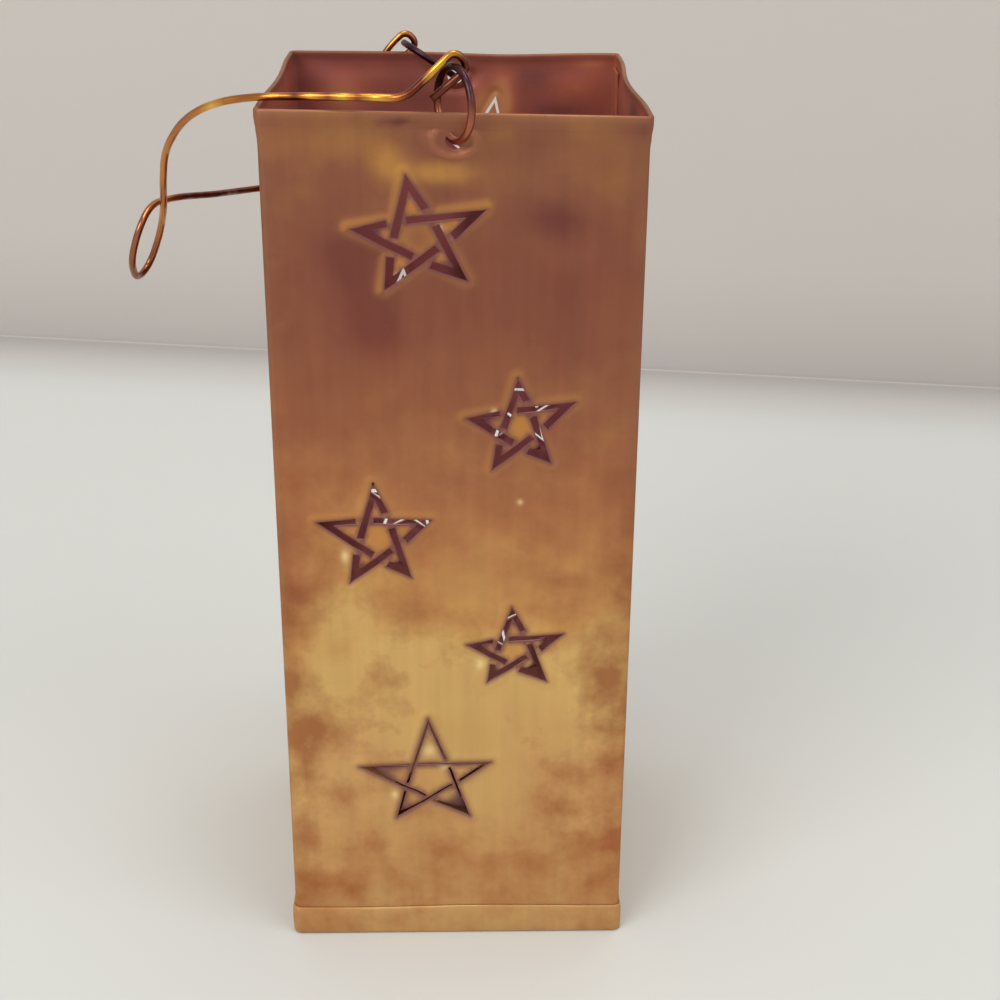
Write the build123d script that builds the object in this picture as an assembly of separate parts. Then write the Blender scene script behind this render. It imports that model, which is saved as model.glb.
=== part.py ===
from build123d import *
from math import asin, cos, degrees, pi, radians, sin, sqrt, tan
import os

# Square punched sheet-metal candle lantern with a wire bail on two jump rings.
# Millimetres, +Z up. The origin is the centre of the base, on the table.
# The front wall faces -Y, and +X is to the right as seen from the front.

os.makedirs("parts", exist_ok=True)

# Body: one sheet wrapped round four walls, with a hem folded outwards round the mouth
body_width = 90.0
body_height = 228.0
sheet = 0.6
corner_radius = 1.6
hem_height = 3.8
hem_round = 0.4

# Lap seam inside the right wall, at its rear end, and the gap left at the sheet's edge
seam_width = 10.0
seam_gap = 0.3
seam_setback = 0.3

# Rivets that hold the lap: a domed head outside, a set tail inside
rivet_radius = 1.2
rivet_head_radius = 2.4
rivet_head_height = 0.9
rivet_tail_radius = 2.0
rivet_tail_height = 0.5
rivet_clearance = 0.05
rivet_height_shares = (0.12, 0.49, 0.86)

# Base pan: a shallow tray whose flange stands round the foot of the body
pan_height = 9.0
pan_clearance = 0.1
pan_edge_round = 1.0

# Candle cup for a tea light, riveted to the middle of the pan
cup_radius = 20.3
cup_height = 12.0
cup_sheet = 0.6
cup_bend = 1.2
cup_lip = 1.4
cup_rivet_radius = 1.5
cup_rivet_head_radius = 3.2
cup_rivet_head_height = 1.1
cup_rivet_sink = 0.8

# Stars: the five tips of each, as seen from outside the wall it is punched in.
# The first number is a share of half the body's width, the second of its height.
star_tip_shares = (
    ((-0.252, 0.937), (-0.545, 0.879), (-0.372, 0.813), (0.068, 0.824), (0.167, 0.901)),
    ((0.336, 0.718), (0.057, 0.673), (0.199, 0.613), (0.523, 0.621), (0.652, 0.691)),
    ((-0.455, 0.597), (-0.777, 0.551), (-0.599, 0.477), (-0.249, 0.483), (-0.133, 0.554)),
    ((0.317, 0.446), (0.055, 0.398), (0.177, 0.349), (0.526, 0.350), (0.618, 0.412)),
    ((-0.168, 0.302), (-0.575, 0.237), (-0.362, 0.167), (0.078, 0.169), (0.202, 0.243)),
)
slit_width = 1.8
front_slit_shares = (1.1, 0.95, 1.0, 0.9, 0.7)
other_slit_share = 0.5
slit_bridge = 0.4
slit_point_share = 0.6
slit_crotch_share = 0.9
rear_star_rise = 3.0

# Jump rings through a hole under the hem of the front and the rear wall
wire = 1.8
ring_radius = 8.3
ring_gap = 0.4
ring_hole_radius = 2.1
ring_hole_drop = 6.4
ring_seat_gap = 0.4
front_ring_lean = 0.0
front_ring_turn = 28.0
rear_ring_lean = -57.0
rear_ring_turn = -8.0
front_hook_angle = 0.0
rear_hook_angle = 21.0
front_butt_angle = 228.0
rear_butt_angle = 250.0

# Handle: one wire, hooked at both ends, with a hanging loop bent in its middle
hook_radius = 2.5
hook_round_share = 0.86
front_hook_heading = 221.6
rear_hook_heading = 223.0
front_tail = 8.6
front_tail_spread = 1.9
front_leg = 6.9
front_leg_spread = 2.3
rear_tail = 4.8
rear_tail_spread = 2.1
rear_leg = 5.0
rear_leg_spread = 2.5
rear_leg_offset = 0.7
rim_rest_gap = 0.45
arm_wall_gap = 1.7
bend_limit = 70.0
bend_share = 0.49

# The wire's route from the front hook to the rear one, in shares of half the
# body's width: x and y from the middle, z from the rim. None stands for a value
# that follows the rim (z) or the rear wall (y).
route_shares = (
    (-0.245, -1.049, 0.059),
    (-0.569, -1.022, 0.063),
    (-1.020, -0.833, None),
    (-1.247, -0.711, -0.023),
    (-1.433, -0.556, -0.136),
    (-1.574, -0.378, -0.336),
    (-1.624, -0.211, -0.548),
    (-1.661, -0.033, -0.737),
    (-1.723, 0.122, -0.928),
    (-1.801, 0.156, -1.117),
    (-1.857, 0.011, -1.173),
    (-1.852, -0.156, -1.020),
    (-1.782, -0.189, -0.814),
    (-1.729, -0.056, -0.709),
    (-1.628, 0.200, -0.728),
    (-1.450, 0.533, -0.787),
    (-1.285, 0.911, -0.845),
    (-1.011, None, -0.844),
    (-0.756, None, -0.567),
    (-0.556, None, -0.256),
)

# Sizes that follow from the ones above
half = body_width / 2
inner = half - sheet
hem_face = half + sheet
wire_radius = wire / 2
seam_edge = half - corner_radius - seam_setback
hole_z = body_height - ring_hole_drop
pivot_z = hole_z - (ring_hole_radius - wire_radius - ring_seat_gap)
wall_middle = half - sheet / 2
overrun = sheet * 4


def square_tube(outside, thickness, radius, low, high):
    """A square tube with rounded corners, between two heights."""
    bore = outside - 2 * thickness
    with BuildPart() as tube:
        with BuildSketch(Plane.XY.offset(low)):
            RectangleRounded(outside, outside, radius)
            RectangleRounded(bore, bore, max(radius - thickness, thickness / 3), mode=Mode.SUBTRACT)
        extrude(amount=high - low)
    return tube.part


def turned(direction, angle):
    """A vector turned about the Y axis, so that a positive angle leans +Z towards +X."""
    return direction.rotate(Axis.Y, angle)


def meeting(a, b, c, d):
    """Distance from a, along the line to b, to where the line through c and d crosses it."""
    along = (b - a).normalized()
    across = Vector(-(d - c).Y, (d - c).X, 0).normalized()
    return (c - a).dot(across) / along.dot(across)


# Stars


def star_slits(tips, width):
    """The five V-shaped slits of one interlaced star, as outlines in (x, z)."""
    outlines = []
    edge = width / 2
    stop = width + slit_bridge
    for i in range(5):
        tip, left, right = tips[i], tips[(i + 2) % 5], tips[(i - 2) % 5]
        beside_left, beside_right = tips[(i + 1) % 5], tips[(i - 1) % 5]
        far = tips[(i + 3) % 5]
        along_left = (left - tip).normalized()
        along_right = (right - tip).normalized()
        outward = (along_left + along_right).normalized() * -1
        half_angle = radians(along_left.get_angle(along_right)) / 2
        reach = edge / sin(half_angle)
        start = tip - outward * reach * slit_point_share
        side_left = Vector(-along_left.Y, along_left.X, 0)
        side_left = side_left * (-1 if side_left.dot(along_right) > 0 else 1)
        side_right = Vector(-along_right.Y, along_right.X, 0)
        side_right = side_right * (-1 if side_right.dot(along_left) > 0 else 1)
        long_leg = meeting(tip, left, beside_left, far) - stop
        short_leg = meeting(tip, right, beside_left, beside_right) - stop
        end_left = tip + along_left * long_leg
        end_right = tip + along_right * short_leg
        outlines.append([
            tip,
            end_left + side_left * edge,
            end_left - side_left * edge,
            start - outward * reach * slit_crotch_share,
            end_right - side_right * edge,
            end_right + side_right * edge,
        ])
    return outlines


def slit_cutters(shares):
    """Solids that cut every slit of the five stars out of the front wall."""
    cutters = []
    for star, share in zip(star_tip_shares, shares):
        tips = [Vector(x * half, z * body_height, 0) for x, z in star]
        for outline in star_slits(tips, share * slit_width):
            points = [(p.X, p.Y) for p in outline]
            with BuildPart() as cutter:
                with BuildSketch(Plane.XZ.offset(half + overrun)):
                    Polygon(*points, align=None)
                extrude(amount=-(sheet + 2 * overrun))
            cutters.append(cutter.part)
    return cutters


# Wrapped body


def wrapped_body():
    """Four walls, hem, lap flange, seam gap, rivet holes, ring holes and star slits."""
    walls = square_tube(body_width, sheet, corner_radius, sheet, body_height)
    hem_low = body_height - hem_height
    hem = square_tube(2 * hem_face, 2 * sheet, corner_radius + sheet, hem_low, body_height)
    shell = walls + hem
    rim = shell.edges().filter_by_position(Axis.Z, body_height, body_height)
    shell = fillet(rim, hem_round)
    lap_height = body_height - hem_height - sheet
    lap = Pos(inner, inner, sheet) * Box(
        sheet, seam_width + sheet, lap_height, align=(Align.MAX, Align.MAX, Align.MIN)
    )
    shell = shell + lap
    gap = Pos(inner, seam_edge, 0) * Box(
        sheet + overrun, seam_gap, body_height + overrun, align=(Align.MIN, Align.MAX, Align.MIN)
    )
    shell = shell - gap
    for height in rivet_height_shares:
        shell = shell - rivet_bore(height)
    for turn in (0, 180):
        hole = Pos(0, -half, hole_z) * Rot(90, 0, 0) * Cylinder(ring_hole_radius, 2 * overrun)
        shell = shell - Rot(0, 0, turn) * hole
    shell = shell - slit_cutters(front_slit_shares)
    narrow = slit_cutters([other_slit_share] * len(star_tip_shares))
    for turn, rise in ((90, 0), (180, rear_star_rise), (270, 0)):
        shell = shell - [Rot(0, 0, turn) * Pos(0, 0, rise) * cutter for cutter in narrow]
    return shell


def rivet_place(height_share):
    """The middle of a seam rivet on the outside of the right wall."""
    return Pos(half, inner - sheet - seam_width / 2, height_share * body_height)


def rivet_bore(height_share):
    """The hole for one seam rivet, through the wall and the lap behind it."""
    bore = Cylinder(rivet_radius + rivet_clearance, 2 * overrun)
    return rivet_place(height_share) * Rot(0, 90, 0) * bore


def seam_rivets():
    """Three rivets, each a domed head, a shank and a flat set tail, as separate solids."""
    grip = 2 * sheet
    dome = (rivet_head_radius**2 + rivet_head_height**2) / (2 * rivet_head_height)
    rivets = []
    for height in rivet_height_shares:
        with BuildPart() as rivet:
            with BuildSketch(Plane.XZ):
                with BuildLine():
                    crown = (0, rivet_head_height)
                    edge = (rivet_head_radius, 0)
                    RadiusArc(crown, edge, dome)
                    Polyline(
                        edge,
                        (rivet_radius, 0),
                        (rivet_radius, -grip),
                        (rivet_tail_radius, -grip),
                        (rivet_tail_radius, -grip - rivet_tail_height),
                        (0, -grip - rivet_tail_height),
                        crown,
                    )
                make_face()
            revolve(axis=Axis.Z)
        rivets.append(rivet_place(height) * Rot(0, 90, 0) * rivet.part)
    return rivets


# Base


def base_pan():
    """A tray with rounded lower edges and a countersunk hole for the cup's rivet."""
    outside = body_width + 2 * (pan_clearance + sheet)
    radius = corner_radius + pan_clearance + sheet
    with BuildPart() as pan:
        with BuildSketch():
            RectangleRounded(outside, outside, radius)
        extrude(amount=pan_height)
        fillet(pan.edges().group_by(Axis.Z)[0], pan_edge_round)
        with BuildSketch(Plane.XY.offset(sheet)):
            RectangleRounded(outside - 2 * sheet, outside - 2 * sheet, radius - sheet)
        extrude(amount=pan_height, mode=Mode.SUBTRACT)
        with BuildSketch():
            Circle(cup_rivet_radius + cup_rivet_sink + rivet_clearance)
        with BuildSketch(Plane.XY.offset(sheet)):
            Circle(cup_rivet_radius + rivet_clearance)
        loft(mode=Mode.SUBTRACT)
    return pan.part


def candle_cup():
    """A pressed round cup with a bent foot and a small lip turned outwards."""
    outside = cup_radius + cup_sheet
    upwards = (Align.CENTER, Align.CENTER, Align.MIN)
    cup = Cylinder(outside, cup_height, align=upwards)
    cup = fillet(cup.edges().group_by(Axis.Z)[0], cup_bend + cup_sheet)
    lip = Cylinder(outside + cup_lip, cup_sheet, align=upwards)
    well = Cylinder(cup_radius, cup_height, align=upwards)
    well = fillet(well.edges().group_by(Axis.Z)[0], cup_bend)
    hole = Cylinder(cup_rivet_radius + rivet_clearance, cup_height)
    cup = cup + Pos(0, 0, cup_height - cup_sheet) * lip
    return Pos(0, 0, sheet) * (cup - Pos(0, 0, cup_sheet) * well - hole)


def cup_rivet():
    """A rivet with its domed head in the cup and its tail sunk flush in the pan."""
    head_z = sheet + cup_sheet
    dome = (cup_rivet_head_radius**2 + cup_rivet_head_height**2) / (2 * cup_rivet_head_height)
    with BuildPart() as rivet:
        with BuildSketch(Plane.XZ):
            with BuildLine():
                crown = (0, head_z + cup_rivet_head_height)
                edge = (cup_rivet_head_radius, head_z)
                RadiusArc(crown, edge, dome)
                Polyline(
                    edge,
                    (cup_rivet_radius, head_z),
                    (cup_rivet_radius, sheet),
                    (cup_rivet_radius + cup_rivet_sink, 0),
                    (0, 0),
                    crown,
                )
            make_face()
        revolve(axis=Axis.Z)
    return rivet.part


# Jump rings


class RingPlace:
    """Where a ring stands: its wire passes through its hole and rises over the rim."""

    def __init__(self, side, lean, turn):
        self.foot = Vector(0, side * wall_middle, pivot_z)
        self.up = turned(Vector(0, 0, 1), lean)
        self.out = turned(Vector(sin(radians(turn)), side * cos(radians(turn)), 0), lean)
        self.middle = self.foot + self.up * ring_radius

    def at(self, angle):
        """A point on the ring's centre line, the angle counted from its top, outwards."""
        along = self.up * cos(radians(angle)) + self.out * sin(radians(angle))
        return self.middle + along * ring_radius


def jump_ring(place, butt_angle):
    """A ring of round wire whose two ends almost meet."""
    plane = Plane(origin=place.middle, x_dir=place.up, z_dir=place.up.cross(place.out))
    ring = plane * Torus(ring_radius, wire_radius)
    cut = plane * Rot(0, 0, butt_angle) * Pos(ring_radius, 0, 0) * Box(2 * wire, ring_gap, 2 * wire)
    return ring - cut


front_place = RingPlace(-1, front_ring_lean, front_ring_turn)
rear_place = RingPlace(1, rear_ring_lean, rear_ring_turn)


# Handle


class Hook:
    """A hook bent round a ring's wire, square to the line that the handle turns on."""

    def __init__(self, centre, swing_line, heading):
        self.centre = centre
        legs = Vector(cos(radians(heading)), 0, sin(radians(heading)))
        self.legs = (legs - swing_line * legs.dot(swing_line)).normalized()
        self.upper = swing_line.cross(self.legs)
        self.upper = self.upper * (-1 if self.upper.Z < 0 else 1)

    def at(self, along, above):
        """A point so far along the legs, and so far to their upper side."""
        return self.centre + self.legs * along + self.upper * above

    def bend(self):
        """The two corners whose fillets make the bend, the upper one first."""
        return [self.at(-hook_radius, hook_radius), self.at(-hook_radius, -hook_radius)]


def handle_points():
    """The corners of the handle's centre line, from the front tail to the rear one."""
    front_pin = front_place.at(front_hook_angle)
    rear_pin = rear_place.at(rear_hook_angle)
    swing_line = (rear_pin - front_pin).normalized()
    front = Hook(front_pin, swing_line, front_hook_heading)
    rear = Hook(rear_pin, swing_line, rear_hook_heading)
    rest_z = body_height + rim_rest_gap + wire_radius
    arm_y = half + sheet + wire_radius + arm_wall_gap
    route = []
    for x, y, z in route_shares:
        route.append(Vector(
            x * half,
            arm_y if y is None else y * half,
            rest_z if z is None else body_height + z * half,
        ))
    offset = swing_line * rear_leg_offset
    points = [front.at(front_tail, -front_tail_spread)]
    points += front.bend()[::-1]
    points += [front.at(front_leg, front_leg_spread)]
    points += route
    points += [rear.at(rear_leg, rear_leg_spread) + offset]
    points += rear.bend()
    points += [rear.at(rear_tail, -rear_tail_spread) + offset]
    return points


def bend_radii(points):
    """A radius for each corner, from its two runs, or the hook's own at the hooks."""
    hook_corners = (1, 2, len(points) - 3, len(points) - 2)
    radii = []
    for i in range(1, len(points) - 1):
        before, after = points[i] - points[i - 1], points[i + 1] - points[i]
        turn = radians(before.get_angle(after))
        run = min(before.length, after.length)
        radius = min(bend_share * run / tan(turn / 2), bend_limit)
        radii.append(hook_round_share * hook_radius if i in hook_corners else radius)
    return radii


def wire_handle():
    """One round wire along straight runs joined by tangent arcs."""
    points = handle_points()
    radii = bend_radii(points)
    path = FilletPolyline(*points, radius=radii)
    section = Plane(origin=path @ 0, z_dir=path % 0) * Circle(wire_radius)
    solid = sweep(section, path=path)
    swept = pi * wire_radius**2 * path.length
    print("handle bend radii", [round(r, 1) for r in radii])
    print("handle length", round(path.length, 1), "volume share", round(solid.volume / swept, 4))
    print("front pin", front_place.at(front_hook_angle), "rear pin", rear_place.at(rear_hook_angle))
    return solid


def check_ring_gap():
    """Prints the height of the ring pivots, which the joints turn on."""
    print("ring pivot height", round(pivot_z, 3), "hole height", round(hole_z, 3))


nodes = {
    "wrapped_body": wrapped_body(),
    "seam_rivets": Compound(children=seam_rivets()),
    "base_pan": base_pan(),
    "candle_cup": candle_cup(),
    "cup_rivet": cup_rivet(),
    "front_ring": jump_ring(front_place, front_butt_angle),
    "rear_ring": jump_ring(rear_place, rear_butt_angle),
    "wire_handle": wire_handle(),
}
check_ring_gap()
for name, shape in nodes.items():
    export_step(shape, f"parts/{name}.step")
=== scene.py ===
import math
import bmesh
import bpy
import numpy as np
from mathutils import Matrix
from mathutils.geometry import delaunay_2d_cdt


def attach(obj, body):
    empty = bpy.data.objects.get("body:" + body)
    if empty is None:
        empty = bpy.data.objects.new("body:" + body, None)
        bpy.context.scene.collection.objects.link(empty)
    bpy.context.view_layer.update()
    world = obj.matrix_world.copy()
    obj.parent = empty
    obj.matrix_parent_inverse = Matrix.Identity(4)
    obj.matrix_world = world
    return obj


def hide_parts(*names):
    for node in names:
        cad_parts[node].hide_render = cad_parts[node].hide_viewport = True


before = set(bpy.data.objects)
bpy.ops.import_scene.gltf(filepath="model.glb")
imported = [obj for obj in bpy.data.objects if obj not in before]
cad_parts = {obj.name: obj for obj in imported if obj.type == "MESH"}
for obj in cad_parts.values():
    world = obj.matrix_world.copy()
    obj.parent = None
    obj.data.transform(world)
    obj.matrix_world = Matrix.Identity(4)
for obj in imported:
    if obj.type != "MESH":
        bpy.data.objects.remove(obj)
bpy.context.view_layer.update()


# Camera
# It stands a little higher than the mouth and looks down at the front wall,
# nearly square to it, from about half a metre away.

camera_place = (0.0011, -0.4257, 0.2962)
camera_down = math.radians(23.37)
camera_right = math.radians(1.49)
camera_roll = math.radians(0.42)
camera_lens = 59.94

ahead = np.array([
    math.sin(camera_right) * math.cos(camera_down),
    math.cos(camera_right) * math.cos(camera_down),
    -math.sin(camera_down),
])
level = np.array([math.cos(camera_right), -math.sin(camera_right), 0.0])
above = np.cross(level, ahead)
across = level * math.cos(camera_roll) + above * math.sin(camera_roll)
above = above * math.cos(camera_roll) - level * math.sin(camera_roll)

camera = bpy.data.objects.new("camera", bpy.data.cameras.new("camera"))
camera.data.lens = camera_lens
camera.data.sensor_width = 36.0
camera.matrix_world = Matrix([
    [across[0], above[0], -ahead[0], camera_place[0]],
    [across[1], above[1], -ahead[1], camera_place[1]],
    [across[2], above[2], -ahead[2], camera_place[2]],
    [0.0, 0.0, 0.0, 1.0],
])
bpy.context.scene.collection.objects.link(camera)
bpy.context.scene.camera = camera


# Body
# One sheet of copper-coloured metal, its stars cut through with a chisel and
# their points pushed in by hand, bent round a square former. The top edge is
# folded outwards into a hem, and the ends lap inside the right wall.

# Sizes in millimetres. A wall's middle surface is flat as far as flat_half, and its
# half of the bend beside it ends at quarter_half. The hem turns over between
# fold_start and fold_end, measured up the flat sheet.
mm = 0.001
wall_half = 45.0
wall_height = 228.0
sheet = 0.6
flat_half = 43.4
bend_radius = 1.3
quarter_half = flat_half + bend_radius * math.pi / 4
foot = 0.6
fold_radius = 0.315
fold_start = wall_height - sheet / 2 - fold_radius
fold_end = fold_start + math.pi * fold_radius
hem_end = fold_end + 3.2

# Steps of the mesh: over the wall, near the stars and along the cuts, then the rows
# round a star's outline and those below the fold. Places keep edge_clearance from a
# cut, and the fine steps reach star_margin past a star's tips.
coarse_step = 3.0
fine_step = 1.3
fine_row_share = 0.87
edge_step = 0.9
edge_clearance = 0.4
star_margin = 4.8
border_rows = (0.6, 1.2, 1.8, 2.4, 3.0, 3.6)
below_fold = (0.35, 0.9, 1.8, 2.4, 3.6, 4.3, 5.1, 6.6, 7.6)
fold_rows = 2.0
rings_stop = 2.2

# The stars' five tips as shares of half the width and of the height, as in the
# solids, from the top round to the left.
star_tips = np.array([
    [(-0.252, 0.937), (-0.545, 0.879), (-0.372, 0.813), (0.068, 0.824), (0.167, 0.901)],
    [(0.336, 0.718), (0.057, 0.673), (0.199, 0.613), (0.523, 0.621), (0.652, 0.691)],
    [(-0.455, 0.597), (-0.777, 0.551), (-0.599, 0.477), (-0.249, 0.483), (-0.133, 0.554)],
    [(0.317, 0.446), (0.055, 0.398), (0.177, 0.349), (0.526, 0.350), (0.618, 0.412)],
    [(-0.168, 0.302), (-0.575, 0.237), (-0.362, 0.167), (0.078, 0.169), (0.202, 0.243)],
]) * (wall_half, wall_height)

# The slits' full width, and each star's share of it. The lowest front star's slits
# have nearly closed up.
slit_width = 1.8
front_slits = (1.05, 0.95, 1.0, 0.9, 0.42)
other_slits = (0.5, 0.5, 0.5, 0.5, 0.5)
slit_bridge = 0.4
crotch_reach = 1.5
rear_star_rise = 3.0

# How far in each point of the front stars is pushed at its tip, in millimetres, and
# the share of it that the other walls' points are.
point_pushes = np.array([
    [0.5, 2.2, 0.7, 1.3, 0.4],
    [1.7, 2.4, 1.0, 5.5, 0.8],
    [0.6, 0.8, 1.2, 4.0, 0.9],
    [1.1, 1.7, 2.6, 6.0, 3.0],
    [0.4, 1.7, 1.3, 2.0, 0.6],
])
other_push = 0.5

# Painted light and shade of each star: a painted golden highlight on its points and
# middle, and along the upper sides of its outline, the width of that border in
# millimetres, the highlight added right in the middle, and the width of the painted
# purple shade beside its slits.
star_light_and_shade = [
    (0.95, 1.00, 2.0, -0.75, 0.60), (0.55, 0.60, 1.7, 0.40, 0.65),
    (0.70, 0.60, 1.8, 0.0, 0.60), (0.30, 0.30, 1.6, 0.25, 0.65),
    (0.20, 0.20, 1.4, 0.0, 0.95),
]

# The relief of a star: the bead along its outline, the dish inside it with the
# distances over which it sinks, and the power by which a point bends in. Then the push
# past which a point is painted a purple shade, and the further push over which it
# becomes fully so. A painted golden highlight gathers round the middle and on sides
# that face up_step.
bead_place, bead_width, bead_height = 1.3, 0.9, 0.32
dish_depth = 0.3
dish_slope = (0.6, 3.5)
push_power = 1.6
shade_from, shade_span = 0.7, 1.3
middle_reach = 4.5
up_step = np.array([-0.12, 0.25])
up_step_length = 0.28

# A ripple beside the fourth star: its distance from it, its width and height, and the
# side of the star that it is on.
ripple_place, ripple_width, ripple_height = 3.0, 0.5, 0.3
ripple_side = np.array([-0.95, -0.3])

# The hole for a ring, and the lip round it, which is wider than it is high and is
# painted lighter as a painted highlight. The wall swells under the hem's lower edge,
# which is tucked in. Pairs are heights between which something begins or ends.
ring_hole = np.array([0.0, wall_height - 6.4])
ring_hole_radius = 2.1
crater_radius = 3.6
crater_stretch = 1.4
crater_lip = 0.9
crater_height = 0.9
crater_top = (222.9, 224.3)
hem_flush = 0.35
flush_rise = (219.5, 224.2)
flush_fall = (225.5, fold_start)
hem_tuck = 0.2
hem_taper = 1.6

# How far the middle of each wall's rim bows in: the front, right, rear and left wall.
# A bow has a half width, and sets in between two heights.
side_bows = (0, 1.5, 0, 0.9)
bow_half = 33
bow_rise = (195, 227)

rivet_across = 38.8
rivet_places = [(rivet_across, share * wall_height) for share in (0.12, 0.49, 0.86)]
rivet_hole_radius = 1.25
slot_left, slot_right = 42.8, 43.1
seam_slot = np.array([
    (slot_left, foot), (slot_right, foot), (slot_right, hem_end), (slot_left, hem_end),
])


def ease(value, low, high):
    """Smooth step: 0 below low, 1 above high, and x*x*(3 - 2x) between them."""
    x = np.clip((value - low) / (high - low), 0.0, 1.0)
    return x * x * (3.0 - 2.0 * x)


def unit(vectors):
    """Each vector divided by its own length."""
    return vectors / np.linalg.norm(vectors, axis=-1, keepdims=True)


def crossing(a, b, c, d):
    """Where the line through a and b meets the line through c and d, in the flat."""
    across = np.array([c[1] - d[1], d[0] - c[0]])
    return a + (b - a) * (np.dot(c - a, across) / np.dot(b - a, across))


def star_shape(tips, width):
    """The slits, points and outline of one star.

    A slit is a V at a tip. Its long leg runs along the chord to the second tip on,
    through the first crossing of the chords, and ends short of the second. Its
    other leg ends short of the first crossing.
    """
    slits, points, outline = [], [], []
    for i in range(5):
        tip, after, before = tips[i], tips[(i + 1) % 5], tips[i - 1]
        long_end, short_end = tips[(i + 2) % 5], tips[i - 2]
        u, v = unit(long_end - tip), unit(short_end - tip)
        inward = unit(u + v)
        reach = width / 2 / math.sin(math.acos(np.dot(u, v)) / 2)
        beside_u = np.array([-u[1], u[0]])
        beside_u *= -np.sign(np.dot(beside_u, v))
        beside_v = np.array([-v[1], v[0]])
        beside_v *= -np.sign(np.dot(beside_v, u))
        notch = crossing(tip, long_end, after, before)
        stop = width + slit_bridge
        end_u = crossing(tip, long_end, after, tips[(i + 3) % 5]) - u * stop
        end_v = crossing(tip, short_end, after, before) - v * stop
        crotch = tip + inward * reach * crotch_reach
        wide = width / 2
        slits.append(np.array([
            tip, end_u + beside_u * wide, end_u - beside_u * wide, crotch,
            end_v - beside_v * wide, end_v + beside_v * wide,
        ]))
        points.append((tip, inward, beside_u, beside_v, np.dot(end_v - tip, inward), reach))
        outline += [tip, notch]
    return slits, points, np.array(outline)


def star_set(shares, rise):
    """The five stars of one wall, with slits of their own widths."""
    return [
        star_shape(tips + (0, rise), share * slit_width)
        for tips, share in zip(star_tips, shares)
    ]


stars = {
    0: star_set(front_slits, 0),
    1: star_set(other_slits, 0),
    2: star_set(other_slits, rear_star_rise),
}
stars[3] = stars[1]


def stepped(polygon, step):
    """A closed outline with its sides divided into equal parts of at most one step."""
    sides = np.roll(polygon, -1, axis=0) - polygon
    counts = np.ceil(np.linalg.norm(sides, axis=1) / step).astype(int)
    return np.concatenate([
        start + side * np.linspace(0, 1, count, endpoint=False)[:, None]
        for start, side, count in zip(polygon, sides, counts)
    ])


def circle(centre, radius, count):
    """Equally spaced places on a circle."""
    turn = np.linspace(0, 2 * math.pi, count, endpoint=False)
    return np.asarray(centre) + radius * np.stack([np.cos(turn), np.sin(turn)], 1)


def distance_to(places, polygon):
    """Each place's distance to the nearest side of a closed outline."""
    side = np.roll(polygon, -1, axis=0) - polygon
    offset = places[:, None] - polygon[None]
    share = np.clip((offset * side).sum(2) / (side * side).sum(1), 0.0, 1.0)
    return np.linalg.norm(offset - share[..., None] * side, axis=2).min(1)


def within(places, polygon):
    """Whether each place is inside a closed outline, by counting sides to its right."""
    a, b = polygon, np.roll(polygon, -1, axis=0)
    x, y = places[:, :1], places[:, 1:]
    spans = (a[:, 1] > y) != (b[:, 1] > y)
    rise = np.where(b[:, 1] == a[:, 1], 1.0, b[:, 1] - a[:, 1])
    meets = a[:, 0] + (y - a[:, 1]) * (b[:, 0] - a[:, 0]) / rise
    return (spans & (x < meets)).sum(1) % 2 == 1


def beside(outline, offset, step):
    """Places at one distance outside a closed outline, along sides and round tips."""
    sides = np.roll(outline, -1, axis=0) - outline
    counts = np.ceil(np.linalg.norm(sides, axis=1) / step).astype(int)
    side = unit(sides)
    outwards = np.repeat(np.stack([side[:, 1], -side[:, 0]], 1), counts, axis=0)
    rows = [stepped(outline, step) + offset * outwards]
    rows += [circle(tip, offset, 14) for tip in outline[::2]]
    rows = np.concatenate(rows)
    return rows[(distance_to(rows, outline) > 0.96 * offset) & ~within(rows, outline)]


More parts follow.
